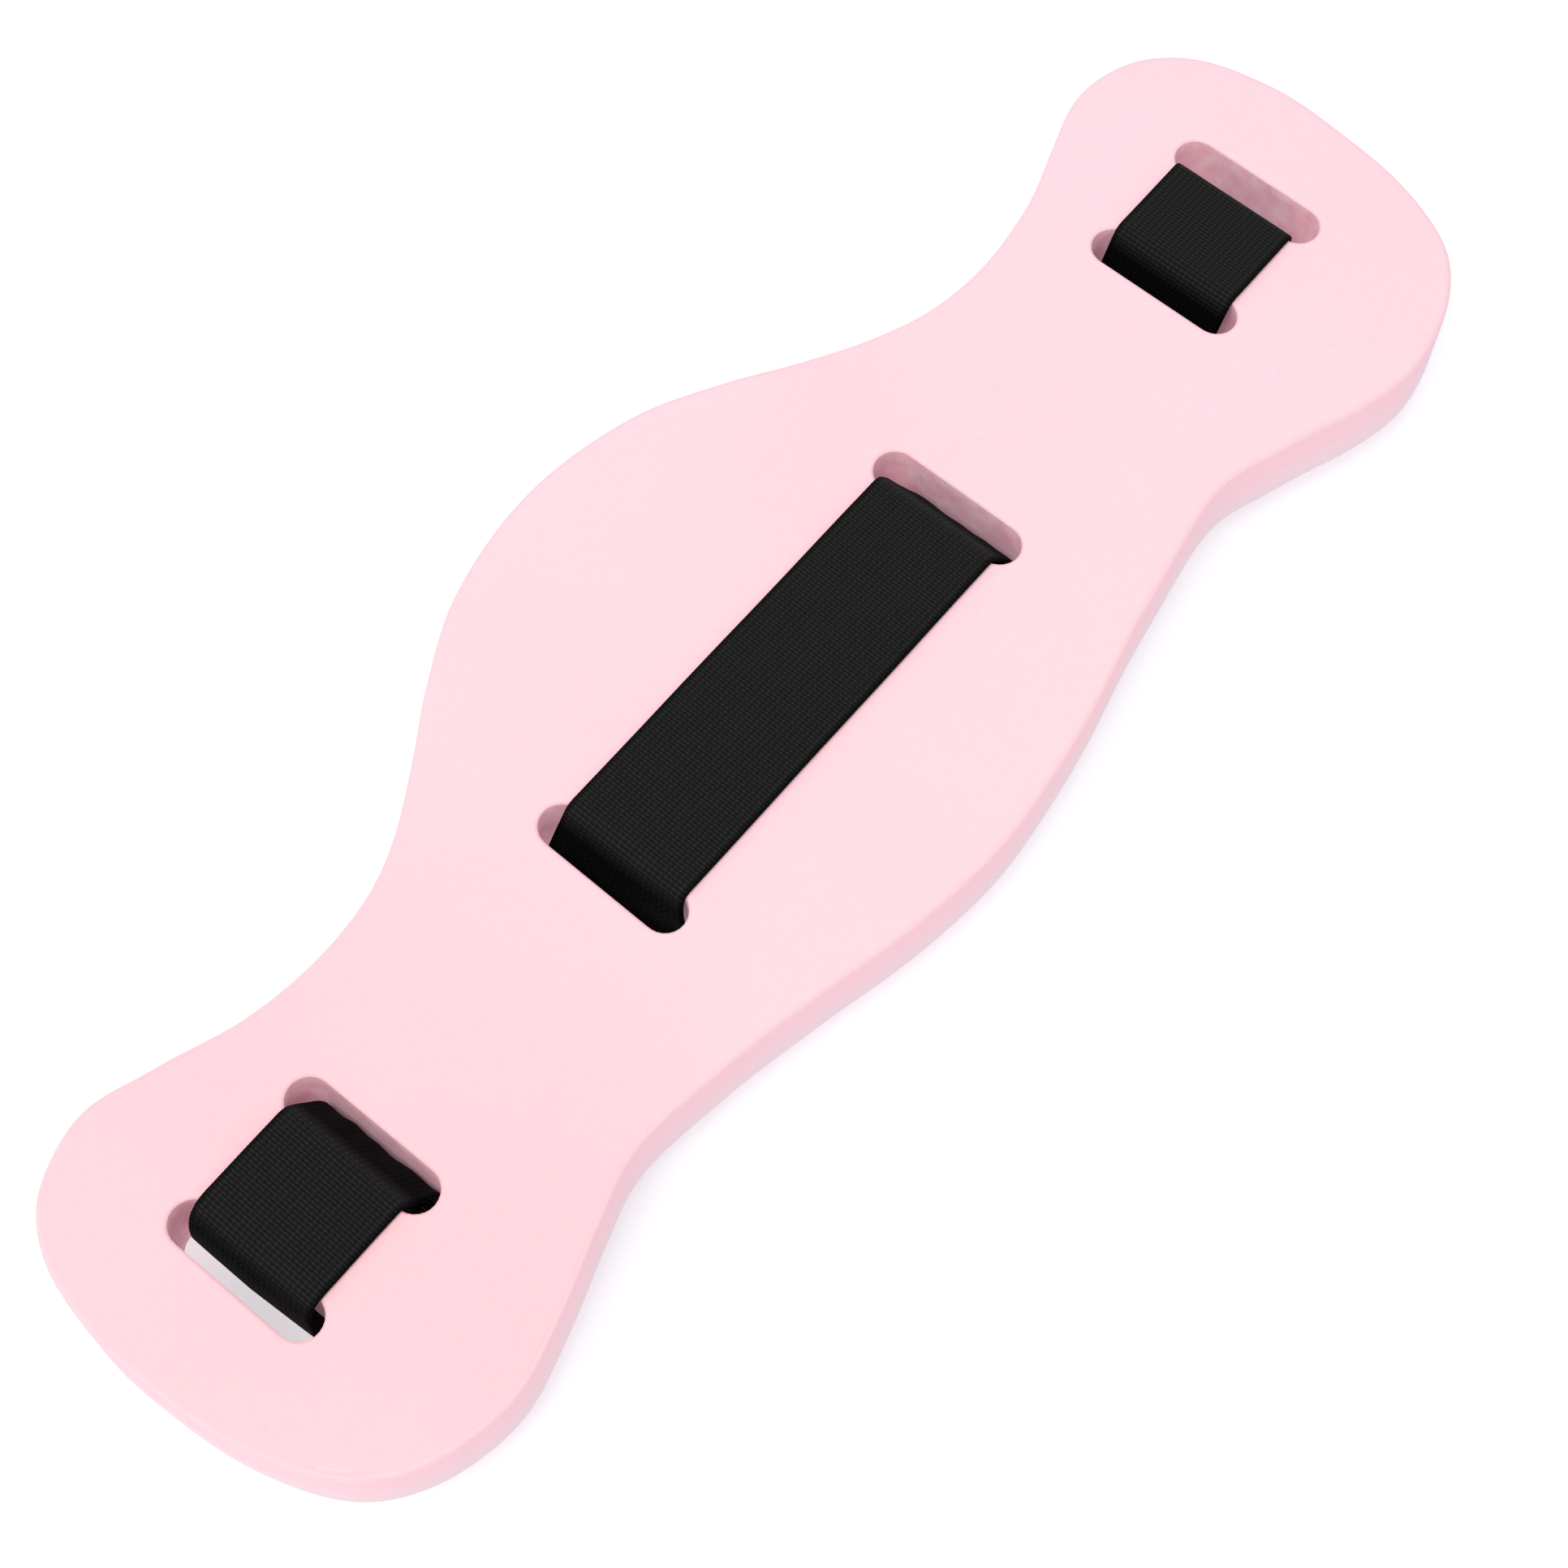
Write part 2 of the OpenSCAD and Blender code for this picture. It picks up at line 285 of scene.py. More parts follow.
def webbing_material(name="black_webbing", lift=1.0, laced=False):
    """Plain woven webbing: u runs along the strap in millimetres / 100, v across it."""
    mat = bpy.data.materials.new(name)
    nt, N, L, bsdf = nodes_of(mat)
    uv = N.new("ShaderNodeUVMap")
    uv.uv_map = "strap"
    sep = N.new("ShaderNodeSeparateXYZ")
    L.new(uv.outputs["UV"], sep.inputs["Vector"])

    def wave(out, pitch_mm, shift=0.0):
        a = math_node(N, "MULTIPLY_ADD", None, 2 * math.pi * 100.0 / pitch_mm)
        a.inputs[2].default_value = shift
        L.new(out, a.inputs[0])
        s = math_node(N, "SINE")
        L.new(a.outputs[0], s.inputs[0])
        return s.outputs[0]

    def mul(a, b):
        m = math_node(N, "MULTIPLY")
        L.new(a, m.inputs[0])
        L.new(b, m.inputs[1])
        return m.outputs[0]

    # weft ribs across the band every 1.1 mm, crossed by warp ends in bundles of 1.7 mm
    u, v = sep.outputs["X"], sep.outputs["Y"]
    rib, warp = wave(u, 1.1), wave(v, 1.7)
    grid = math_node(N, "MULTIPLY_ADD", None, 0.5)
    L.new(warp, grid.inputs[0])
    L.new(rib, grid.inputs[2])
    cross = mul(wave(u, 2.2, 0.6), wave(v, 1.7, 1.57))
    height = math_node(N, "MULTIPLY_ADD", None, 0.35)
    L.new(cross, height.inputs[0])
    L.new(grid.outputs[0], height.inputs[2])
    fuzz = N.new("ShaderNodeTexNoise")
    fuzz.inputs["Scale"].default_value = 1400.0
    fuzz.inputs["Detail"].default_value = 3.0
    co = N.new("ShaderNodeTexCoord")
    L.new(co.outputs["Object"], fuzz.inputs["Vector"])
    h2 = math_node(N, "MULTIPLY_ADD", None, 0.9)
    L.new(fuzz.outputs["Fac"], h2.inputs[0])
    L.new(height.outputs[0], h2.inputs[2])
    bump = N.new("ShaderNodeBump")
    bump.inputs["Strength"].default_value = 0.75
    bump.inputs["Distance"].default_value = 0.0002
    L.new(h2.outputs[0], bump.inputs["Height"])
    L.new(bump.outputs["Normal"], bsdf.inputs["Normal"])
    # threads catch light on top of each float
    k = lift
    tone = ramp(N, [(0.0, (0.0006 * k, 0.0006 * k, 0.0006 * k)), (0.5, (0.0042 * k, 0.0042 * k, 0.0043 * k)), (1.0, (0.0145 * k, 0.0145 * k, 0.0145 * k))])
    norm = N.new("ShaderNodeMapRange")
    norm.inputs["From Min"].default_value = -1.3
    norm.inputs["From Max"].default_value = 2.3
    L.new(h2.outputs[0], norm.inputs["Value"])
    L.new(norm.outputs["Result"], tone.inputs["Fac"])
    # the tightly drawn selvedges are the darkest part of the band
    rim = math_node(N, "PINGPONG", None, WEB_W / 200)
    L.new(v, rim.inputs[0])
    shade = N.new("ShaderNodeMapRange")
    shade.inputs["From Min"].default_value = 0.003
    shade.inputs["From Max"].default_value = 0.016
    shade.inputs["To Min"].default_value = 0.25
    L.new(rim.outputs[0], shade.inputs["Value"])
    fade = shade.outputs["Result"]
    if laced:
        # less light on the band where it turns down into a slot
        dim = ramp(N, [(0.0, (1, 1, 1)), (0.12, (0.25, 0.25, 0.25)), (0.86, (0.16, 0.16, 0.16)), (0.975, (0.72, 0.72, 0.72)), (1.0, (1, 1, 1))])
        L.new(height_share(N, L, co), dim.inputs["Fac"])
        fade = mul(fade, dim.outputs["Color"])
    dark = N.new("ShaderNodeVectorMath")
    dark.operation = "SCALE"
    L.new(tone.outputs["Color"], dark.inputs[0])
    L.new(fade, dark.inputs["Scale"])
    L.new(dark.outputs[0], bsdf.inputs["Base Color"])
    spec = math_node(N, "MULTIPLY", None, 0.22)
    L.new(fade, spec.inputs[0])
    L.new(spec.outputs[0], bsdf.inputs["Specular IOR Level"])
    rough = N.new("ShaderNodeMapRange")
    rough.inputs["To Min"].default_value = 0.95
    rough.inputs["To Max"].default_value = 0.7
    L.new(norm.outputs["Result"], rough.inputs["Value"])
    L.new(rough.outputs["Result"], bsdf.inputs["Roughness"])
    bsdf.inputs["Sheen Weight"].default_value = 0.02 if laced else 0.04
    bsdf.inputs["Sheen Roughness"].default_value = 0.4
    return mat


def thread_material():
    mat = bpy.data.materials.new("polyester_thread")
    nt, N, L, bsdf = nodes_of(mat)
    co = N.new("ShaderNodeTexCoord")
    w = N.new("ShaderNodeTexWave")
    w.wave_type = "BANDS"
    w.bands_direction = "DIAGONAL"
    w.inputs["Scale"].default_value = 900.0
    w.inputs["Distortion"].default_value = 1.5
    L.new(co.outputs["Object"], w.inputs["Vector"])
    tone = ramp(N, [(0.0, (0.02, 0.02, 0.022)), (1.0, (0.06, 0.06, 0.065))])
    L.new(w.outputs["Fac"], tone.inputs["Fac"])
    L.new(tone.outputs["Color"], bsdf.inputs["Base Color"])
    b = N.new("ShaderNodeBump")
    b.inputs["Strength"].default_value = 0.4
    b.inputs["Distance"].default_value = 0.0001
    L.new(w.outputs["Fac"], b.inputs["Height"])
    L.new(b.outputs["Normal"], bsdf.inputs["Normal"])
    bsdf.inputs["Roughness"].default_value = 0.5
    return mat


def plastic_material():
    mat = bpy.data.materials.new("moulded_acetal")
    nt, N, L, bsdf = nodes_of(mat)
    co = N.new("ShaderNodeTexCoord")
    grain = N.new("ShaderNodeTexNoise")
    grain.inputs["Scale"].default_value = 2600.0
    grain.inputs["Detail"].default_value = 2.0
    L.new(co.outputs["Object"], grain.inputs["Vector"])
    flow = N.new("ShaderNodeTexNoise")
    flow.inputs["Scale"].default_value = 70.0
    flow.inputs["Detail"].default_value = 4.0
    flow.inputs["Distortion"].default_value = 0.8
    L.new(co.outputs["Object"], flow.inputs["Vector"])
    tone = ramp(N, [(0.3, (0.008, 0.008, 0.0088)), (0.7, (0.014, 0.014, 0.0152))])
    L.new(flow.outputs["Fac"], tone.inputs["Fac"])
    L.new(tone.outputs["Color"], bsdf.inputs["Base Color"])
    rough = N.new("ShaderNodeMapRange")
    rough.inputs["From Min"].default_value = 0.3
    rough.inputs["From Max"].default_value = 0.7
    rough.inputs["To Min"].default_value = 0.34
    rough.inputs["To Max"].default_value = 0.5
    L.new(flow.outputs["Fac"], rough.inputs["Value"])
    L.new(rough.outputs["Result"], bsdf.inputs["Roughness"])
    b = N.new("ShaderNodeBump")
    b.inputs["Strength"].default_value = 0.18
    b.inputs["Distance"].default_value = 0.00008
    L.new(grain.outputs["Fac"], b.inputs["Height"])
    L.new(b.outputs["Normal"], bsdf.inputs["Normal"])
    bsdf.inputs["Specular IOR Level"].default_value = 0.42
    return mat


FOAM = foam_material("eva_foam", [(0.94, 0.590, 0.622), (0.948, 0.604, 0.635), (0.955, 0.614, 0.650)])
# the cut outer side, with light painted into its colour: a slightly darker, pinker band under the front edge, paler
# greyish floor bounce light lower down, and painted shade along the bottom edge
FOAM_SIDE_PAINTED_SHADE = foam_material(
    "eva_foam_side_painted_shade",
    [(0.94, 0.590, 0.622), (0.948, 0.604, 0.635), (0.955, 0.614, 0.650)],
    painted_light_stops=[
        (0.0, (0.76, 0.56, 0.60)), (0.10, (0.82, 0.62, 0.665)), (0.28, (0.845, 0.622, 0.668)), (0.5, (0.91, 0.578, 0.640)),
        (0.90, (0.925, 0.560, 0.632)), (0.97, (0.945, 0.600, 0.634)), (1.0, (0.948, 0.604, 0.635)),
    ],
)  # fmt: skip
# inside the slots: a deeper, darker pink painted into the colour for the shade and the pink-on-pink bounce light in
# them
CUT_PAINTED_SHADE_GLOW = foam_material("eva_foam_cut_painted_shade_glow", [(0.89, 0.44, 0.54), (0.95, 0.54, 0.63), (0.97, 0.66, 0.72)], 0.9, 190.0)
# painted glow: a pink emission on the slot walls standing in for light soaked through the foam, stronger deeper down
nt, N, L, bsdf = nodes_of(CUT_PAINTED_SHADE_GLOW)
bsdf.inputs["Emission Color"].default_value = (1.0, 0.56, 0.66, 1)
painted_glow_depth = N.new("ShaderNodeMapRange")
painted_glow_depth.inputs["From Min"].default_value = 0.85
painted_glow_depth.inputs["From Max"].default_value = 0.35
painted_glow_depth.inputs["To Min"].default_value = 0.07
painted_glow_depth.inputs["To Max"].default_value = 0.13
co = next(n for n in N if n.bl_idname == "ShaderNodeTexCoord")
L.new(height_share(N, L, co), painted_glow_depth.inputs["Value"])
L.new(painted_glow_depth.outputs["Result"], bsdf.inputs["Emission Strength"])
WEB = webbing_material()
WEB_LACED = webbing_material("black_webbing_laced", laced=True)
THREAD = thread_material()
PLASTIC = plastic_material()

# ---------------------------------------------------------------- foam float
EDGE = [
    (0, 81), (36, 75), (61, 62.5), (79, 51), (97, 41), (115, 34.2),
    (135, 31.8), (158, 34.5), (182, 42.5), (203, 47), (221, 42),
    (233, 29), (239, 8), (240, -11), (236.5, -37), (230, -54),
    (220.5, -68), (206, -78), (190, -81), (167, -76.5), (142, -67.5),
    (121, -62.5), (91, -65), (61, -71), (30, -78), (0, -81),
]  # fmt: skip


def outline():
    p = EDGE + [(-x, y) for x, y in EDGE[-2:0:-1]]
    return even(catmull(p, 20), 2.2, closed=True)[::-1]  # anticlockwise


def stadium(cx, dy=0.0, tilt=0.0, n=14):
    pts = []
    h = SLOT_L / 2 - SLOT_R
    for i in range(n + 1):
        a = math.pi * i / n
        pts.append((cx + SLOT_R * math.cos(a), YS + dy + h + SLOT_R * math.sin(a)))
    for i in range(n + 1):
        a = math.pi + math.pi * i / n
        pts.append((cx + SLOT_R * math.cos(a), YS + dy - h + SLOT_R * math.sin(a)))
    pts = [(x + tilt * (y - YS), y) for x, y in pts]
    return even(pts, 1.5, closed=True)


def out_normals(p):
    d = np.roll(p, -1, 0) - np.roll(p, 1, 0)
    d /= np.linalg.norm(d, axis=1)[:, None]
    return np.stack([d[:, 1], -d[:, 0]], 1)  # to the right of an anticlockwise loop: outward


def inside(pts, loop):
    x, y = pts[:, 0][:, None], pts[:, 1][:, None]
    x0, y0 = loop[:, 0][None], loop[:, 1][None]
    x1, y1 = np.roll(loop[:, 0], -1)[None], np.roll(loop[:, 1], -1)[None]
    hit = ((y0 > y) != (y1 > y)) & (x < (x1 - x0) * (y - y0) / (y1 - y0 + 1e-12) + x0)
    return hit.sum(1) % 2 == 1


# the slots are punched by hand, a millimetre or so from where the CAD has them
E_X, F_X, B_X = CENTRE_X - 0.8, CENTRE_X - 0.5, LOBE_X + 1.3
SLOTS = [  # x, offset along the slot, tilt
    (OUTER_X, 0.0, 0.0), (B_X, 0.0, 0.0), (E_X, 1.4, 0.0), (-F_X, 1.2, 0.02), (-LOBE_X, 0.0, 0.0), (-OUTER_X, 0.0, 0.0),
]  # fmt: skip
GROW = 0.55  # the rounded edge draws the silhouette in by about this much


# hand cutting: the outline wanders from the template. x, y, how far out, over what reach (mm)
WANDER = [
    (200, -80, -1.6, 16), (-200, -80, -1.5, 16), (226, -62, 1.0, 14), (-228, -60, 1.1, 15), (240, -20, -0.9, 18),
    (-242, -12, -0.5, 15), (125, -63, -1.1, 14), (-123, -62, -0.6, 14), (156, -74, -0.6, 13), (-165, -78, -0.6, 12),
    (175, 38, -1.0, 16), (-104, 38, -0.8, 20), (-202, 48, 1.2, 14), (-226, 38, 0.8, 12), (53, -72, 0.9, 18), (85, -64, 0.8, 15),
]  # fmt: skip


def foam_float():
    edge = outline()
    out = np.full(len(edge), GROW)
    for x, y, far, reach in WANDER:
        out += far * np.exp(-((edge[:, 0] - x) ** 2 + (edge[:, 1] - y) ** 2) / reach**2)
    edge = edge + out_normals(edge) * out[:, None]
    area = 0.5 * np.sum(edge[:, 0] * np.roll(edge[:, 1], -1) - np.roll(edge[:, 0], -1) * edge[:, 1])
    if area < 0:
        edge = edge[::-1]
    slots = [stadium(x, dy, tilt) for x, dy, tilt in SLOTS]
    R_OUT, R_SLOT = 2.0, 1.1
    seg = 7
    verts, faces = [], []

    def add(p2, z):
        i = len(verts)
        for q in p2:
            verts.append((q[0], q[1], z))
        return list(range(i, i + len(p2)))

    def strips(loop, sign, r, r_low):
        """Rings from the flat front over the rounded edge, down the wall, to the flat back.
        sign is +1 for the outer edge, where the rounding goes inward, and -1 for a slot."""
        n = out_normals(loop)
        prof = [(r + 0.9, FRONT)]
        for i in range(seg + 1):
            a = math.radians(90 * i / seg)
            prof.append((r * (1 - math.sin(a)), FRONT - r * (1 - math.cos(a))))
        walls = 5
        for i in range(1, walls):
            prof.append((0.0, FRONT - r + (BACK + r_low - FRONT + r) * i / walls))
        for i in range(seg + 1):
            a = math.radians(90 * i / seg)
            prof.append((r_low * (1 - math.cos(a)), BACK + r_low - r_low * math.sin(a)))
        prof.append((r_low + 0.9, BACK))
        rings = [add(loop - n * (sign * d), z) for d, z in prof]
        m = len(loop)
        for a, b in zip(rings, rings[1:]):
            for i in range(m):
                j = (i + 1) % m
                faces.append((a[i], b[i], b[j], a[j]) if sign > 0 else (a[i], a[j], b[j], b[i]))
        if sign > 0:
            # a short crease pressed into the rim of one lobe
            for i in rings[1]:
                x, y, z = verts[i]
                near = math.hypot(x + 225.8, y + 58.6) / 8.5
                verts[i] = (x, y, z - 0.42 * math.exp(-(near**4)))
        return rings[0], rings[-1]

    tops, backs = [], []
    t, b = strips(edge, 1, R_OUT, 2.2)
    tops.append(t)
    backs.append(b)
    for s in slots:
        t, b = strips(s, -1, R_SLOT, 1.0)
        tops.append(t)
        backs.append(b)

    # even triangles over the flat faces, so that they can dip and swell
    step = 5.0
    grid = []
    row = 0
    y = -82.0
    while y < 82:
        x = -242.0 + (step / 2 if row % 2 else 0)
        while x < 242:
            grid.append((x, y))
            x += step
        y += step * 0.866
        row += 1
    grid = np.array(grid)

    def cap(loops, z, up):
        v = np.array(verts)
        rings = [v[l][:, :2] for l in loops]
        keep = inside(grid, rings[0])
        d = np.min(np.linalg.norm(grid[:, None] - rings[0][None], axis=2), axis=1)
        keep &= d > 2.8
        for r in rings[1:]:
            keep &= ~inside(grid, r)
            d = np.min(np.linalg.norm(grid[:, None] - r[None], axis=2), axis=1)
            keep &= d > 2.4
        pts = [tuple(p) for r in rings for p in r]
        flat = [i for l in loops for i in l]
        edges, at = [], 0
        for r in rings:
            edges += [(at + i, at + (i + 1) % len(r)) for i in range(len(r))]
            at += len(r)
        free = grid[keep]
        made, _, tris, orig, _, _ = delaunay_2d_cdt(
            [Vector(p) for p in pts] + [Vector(p) for p in free], edges, [], 0, 1e-7
        )
        index = {}
        for k, o in enumerate(orig):
            if o and o[0] < len(flat):
                index[k] = flat[o[0]]
            else:
                index[k] = len(verts)
                verts.append((made[k][0], made[k][1], z))
        c = np.array([[sum(made[k][a] for k in tri) / 3 for a in (0, 1)] for tri in tris])
        ok = inside(c, rings[0])
        for r in rings[1:]:
            ok &= ~inside(c, r)
        for tri, good in zip(tris, ok):
            if good:
                f = [index[k] for k in tri]
                a, b_, d_ = (np.array(verts[i][:2]) for i in f)
                turn = (b_[0] - a[0]) * (d_[1] - a[1]) - (b_[1] - a[1]) * (d_[0] - a[0])
                if (turn > 0) != up:
                    f.reverse()
                faces.append(tuple(f))

    cap(tops, FRONT, True)
    cap(backs, BACK, False)
    v = np.array(verts)
    # cut sheet foam is never quite flat: a slow swell, and the whole front face set 0.06 mm down
    for i, (x, y, z) in enumerate(verts):
        n1 = noise.noise(Vector((x * 0.018, y * 0.018, 3.1 + z * 0.01)))
        n2 = noise.noise(Vector((x * 0.06, y * 0.06, 7.7)))
        dz = 0.22 * n1 + 0.05 * n2
        if z > FRONT - 0.5:
            v[i, 2] += dz - 0.06
        elif z < BACK + 0.5:
            v[i, 2] += abs(dz) * 0.5
        if BACK + 3 < z < FRONT - 4:
            # saw and heat leave the cut side very slightly wavy
            k = 0.12 * noise.noise(Vector((x * 0.05, y * 0.05, z * 0.16)))
            v[i, 0] += k * (1 if x > 0 else -1) * 0.5
            v[i, 1] += k * 0.6
    ob = new_mesh("foam_float", v * MM, faces)
    fix_normals(ob)
    ob.data.materials.append(FOAM)
    ob.data.materials.append(CUT_PAINTED_SHADE_GLOW)
    ob.data.materials.append(FOAM_SIDE_PAINTED_SHADE)
    # slot walls take the cut material with painted shade and painted glow; the outer cut side takes the side material
    # with painted shade and floor bounce light
    for p in ob.data.polygons:
        c = p.center / MM
        if any(abs(c.x - x) < SLOT_R + 1.2 and abs(c.y - YS - dy) < SLOT_L / 2 + 1.2 for x, dy, _ in SLOTS):
            if abs(p.normal.z) < 0.75 and BACK + 1.0 < c.z < FRONT - 1.0:
                p.material_index = 1
        elif abs(p.normal.z) < 0.92 and BACK + 0.3 < c.z < FRONT - 0.2:
            p.material_index = 2
    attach(ob, "root")
    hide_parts("foam_board")
    return ob


foam = foam_float()

# ---------------------------------------------------------------- webbing
RIB = 1.1


def ribbon(name, path, body=None, s0=0.0, shape=None, cap=(False, False), width=WEB_W, thick=WEB_T, across=20):
    """Woven band along a path of (x, z) in mm, ribs and rounded selvedges in the mesh. shape(s, y, x, z) gives (dx, dy, dz)."""
    path = even(path, RIB / 4)
    d = np.gradient(path, axis=0)
    d /= np.linalg.norm(d, axis=1)[:, None]
    # keep the faces from crossing in tight turns: smooth the tangents a little
    for _ in range(2):
        e = d.copy()
        e[1:-1] = (d[:-2] + d[1:-1] * 2 + d[2:]) / 4
        d = e / np.linalg.norm(e, axis=1)[:, None]
    n = np.stack([-d[:, 1], d[:, 0]], 1)
    s = s0 + np.concatenate([[0], np.cumsum(np.linalg.norm(np.diff(path, axis=0), axis=1))])
    ht, hw = thick / 2, width / 2
    section = []  # (y, height, is face)
    for i in range(across + 1):
        y = -hw + 0.55 + (width - 1.1) * i / across
        section.append((y, ht, 1))
    for a in (60, 20, -20, -60):
        section.append((hw - 0.55 + 0.55 * math.cos(math.radians(a)), ht * math.sin(math.radians(a)) * 0.98, 0))
    for i in range(across, -1, -1):
        y = -hw + 0.55 + (width - 1.1) * i / across
        section.append((y, -ht, -1))
    for a in (-120, -160, 160, 120):
        section.append((-hw + 0.55 + 0.55 * math.cos(math.radians(a)), ht * math.sin(math.radians(a)) * 0.98, 0))
    m = len(section)
    verts = np.zeros((len(path) * m, 3))
    uvs = np.zeros((len(path) * m, 2))
    k = 0
    for i, (p, q, t) in enumerate(zip(path, n, s)):
        phase = 2 * math.pi * t / RIB
        for y, h, face in section:
            wob = 0.5 * noise.noise(Vector((t * 0.05, y * 0.12, 1.3)))
            rib = (0.042 if face else 0.03) * math.sin(phase + wob * 2.0)
            edge = 1.0 - 0.16 * (abs(y) / hw) ** 8
            hh = h * edge + (rib * face if face else 0.0)
            yy = y + (rib * (1 if y > 0 else -1) if not face else 0.0)
            x, z = p[0] + q[0] * hh, p[1] + q[1] * hh
            if shape is not None:
                dx, dy, dz = shape(t, y, p[0], p[1])
                x, yy, z = x + dx, yy + dy, z + dz
            verts[k] = (x, YS + yy, z)
            uvs[k] = (t / 100.0, (y + hw) / 100.0)
            k += 1
    faces = []
    for i in range(len(path) - 1):
        a, b = i * m, (i + 1) * m
        for j in range(m):
            j2 = (j + 1) % m
            faces.append((a + j, a + j2, b + j2, b + j))
    if cap[0]:
        faces.append(tuple(range(m - 1, -1, -1)))
    if cap[1]:
        faces.append(tuple(range((len(path) - 1) * m, len(path) * m)))
    ob = new_mesh(name, verts * MM, faces)
    layer = ob.data.uv_layers.new(name="strap")
    idx = np.zeros(len(ob.data.loops), int)
    ob.data.loops.foreach_get("vertex_index", idx)
    layer.data.foreach_set("uv", uvs[idx].ravel())
    ob.data.materials.append(WEB)
    if body:
        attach(ob, body)
    return ob, s[-1]


def side_path(sign, centre, lobe, loose):
    """The laced strap from the middle of the front to the back of the outer slot on one side (x positive here)."""
    e, rf = 1.1, 0.12
    r = e + WEB_T / 2 + rf
    top, low = FRONT - e, BACK + e
    z0 = FRONT + WEB_T / 2 + rf

    def dip(wall, out):
        """Over a slot edge at x = wall and down, leaning towards the opposite wall."""
        q = [(wall - 3.2, z0), (wall - 1.0, z0 - 0.02), (wall + 0.9, z0 - 0.75), (wall + 2.6, z0 - 2.5),
             (wall + 4.6, z0 - 5.2), (wall + 6.9, z0 - 8.6), (wall + 9.0, z0 - 12.6), (wall + 10.4, z0 - 17.0),
             (wall + 10.95, z0 - 21.5), (wall + 11.05, low + 0.6)]  # fmt: skip
        q = [(wall + (x - wall) * out, z) for x, z in q]
        return [tuple(a) for a in catmull(q, 6, closed=False)]

    p = [(0.0, z0)]
    p += dip(centre - SLOT_R, 1)
    p += arc(centre + SLOT_R + e, low, r, 180, 270)[1:]
    p += arc(lobe - SLOT_R - e, low, r, -90, 0)
    p += dip(lobe + SLOT_R, -1)[::-1][1:]
    if not loose:
        p += arc(OUTER_WALL - e, top, r, 90, 0)
        p += [(OUTER_WALL + 1.05, BACK + 1.0)]
    else:
        # slack at the sewn end: the strap stands off the wall on its way down
        q = [(OUTER_WALL - 4.5, z0), (OUTER_WALL - 1.1, z0 - 0.05), (OUTER_WALL + 1.7, z0 - 0.9),
             (OUTER_WALL + 4.3, z0 - 3.2), (OUTER_WALL + 6.0, z0 - 7.2), (OUTER_WALL + 6.5, z0 - 12.2),
             (OUTER_WALL + 5.4, z0 - 17.4), (OUTER_WALL + 2.9, z0 - 21.8), (OUTER_WALL + 1.3, z0 - 24.4),
             (OUTER_WALL + 1.05, BACK + 1.0)]  # fmt: skip
        p += [tuple(a) for a in catmull(q, 6, closed=False)]
    return [(sign * x, z) for x, z in p]


def bump01(v, lo, mid, hi):
    """0 at lo and hi, 1 at mid."""
    if v <= lo or v >= hi:
        return 0.0
    f = (v - lo) / (mid - lo) if v < mid else (hi - v) / (hi - mid)
    return f * f * (3 - 2 * f)


def lace_shape(t, y, x, z):
    """Slow sag and curl of real webbing, held to nothing at the cut ends."""
    w = noise.noise(Vector((t * 0.035, y * 0.03, 5.0)))
    on_top = z > FRONT - 0.5
    lift = 0.16 * abs(w) if on_top else 0.0
    curl = 0.10 * (abs(y) / 20) ** 4 if on_top else 0.0
    depth = FRONT - z
    held = 1.0
    if abs(x) > OUTER_WALL - 1:
        held = min(1.0, max(0.0, (z - BACK - 4) / 16.0))
    # the band lies a little off the slots' line on the front
    out = min(1.0, max(0.0, (abs(x) - 90) / 40))
    flat = held * (1.25 - 0.55 * out + 0.15 * noise.noise(Vector((t * 0.03, 0.0, 9.0))))
    in_slot = min(1.0, max(0.0, depth / 7.0))
    dy, dx = flat, 0.0
    low_y = max(0.0, -y / 20.0)  # 1 at the edge near the camera
    k = bump01(depth, 0.5, 12.0, 25.0)
    if -77 < x < -60:
        dy = flat * (1 - in_slot) + (0.75 + 0.11 * y if y < 0 else 0.75 + 0.02 * y) * in_slot
        dx = 3.4 * k * low_y - 1.0 * k * max(0.0, y / 20)
    elif 60 < x < 77:
        dy = flat * (1 - in_slot) - 0.2 * in_slot
        dx = -0.1 * k * (0.4 + 0.6 * (1 - low_y)) - 1.6 * k * max(0.0, (y - 13) / 7) + 0.6 * k * noise.noise(Vector((y * 0.14, 2.0, 4.0)))
    elif 156 < x < 172:
        dy = flat * (1 - in_slot) + 0.2 * in_slot
        dx = -0.8 * k * low_y
    elif -172 < x < -156:
        dy = flat * (1 - in_slot) - 0.2 * in_slot
        dx = 1.3 * k * noise.noise(Vector((y * 0.16 + 1.0, 6.0, 4.0))) + 1.0 * k * low_y
    elif x < -OUTER_WALL + 2 and z < FRONT + 0.3:
        k = bump01(depth, 0.0, 11.0, 22.0)
        dy = flat - 0.9 * k - 1.1 * k * low_y
        dx = 0.8 * k * low_y - 0.4 * k * (1 - low_y)
    # webbing bows across its width where it turns
    return dx, dy, lift + curl


left_path = side_path(-1, F_X, LOBE_X, True)
right_path = side_path(1, E_X, B_X, False)
lace = left_path[::-1] + right_path[1:]
strap_laced, s_end = ribbon("strap_laced", lace, "root", 0.0, lace_shape)
strap_laced.data.materials[0] = WEB_LACED
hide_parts("strap_threaded")

# folds below the two outer slots
DROP = OUTER_WALL + 1.05
BEND_R = BACK - RUN_Z
bend = [(DROP, BACK + 1.0)] + arc(DROP - BEND_R, BACK, BEND_R, 0, -90, 12) + [(190.0, RUN_Z)]
fold_r, s_r = ribbon("strap_fold_right", bend, None, s_end)
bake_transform(fold_r)
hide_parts("strap_bend_right")
bend_l = [(-x, z) for x, z in bend][::-1]
fold_l, s_l = ribbon("strap_fold_left", bend_l, None, -30.0)
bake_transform(fold_l)
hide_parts("strap_bend_left")

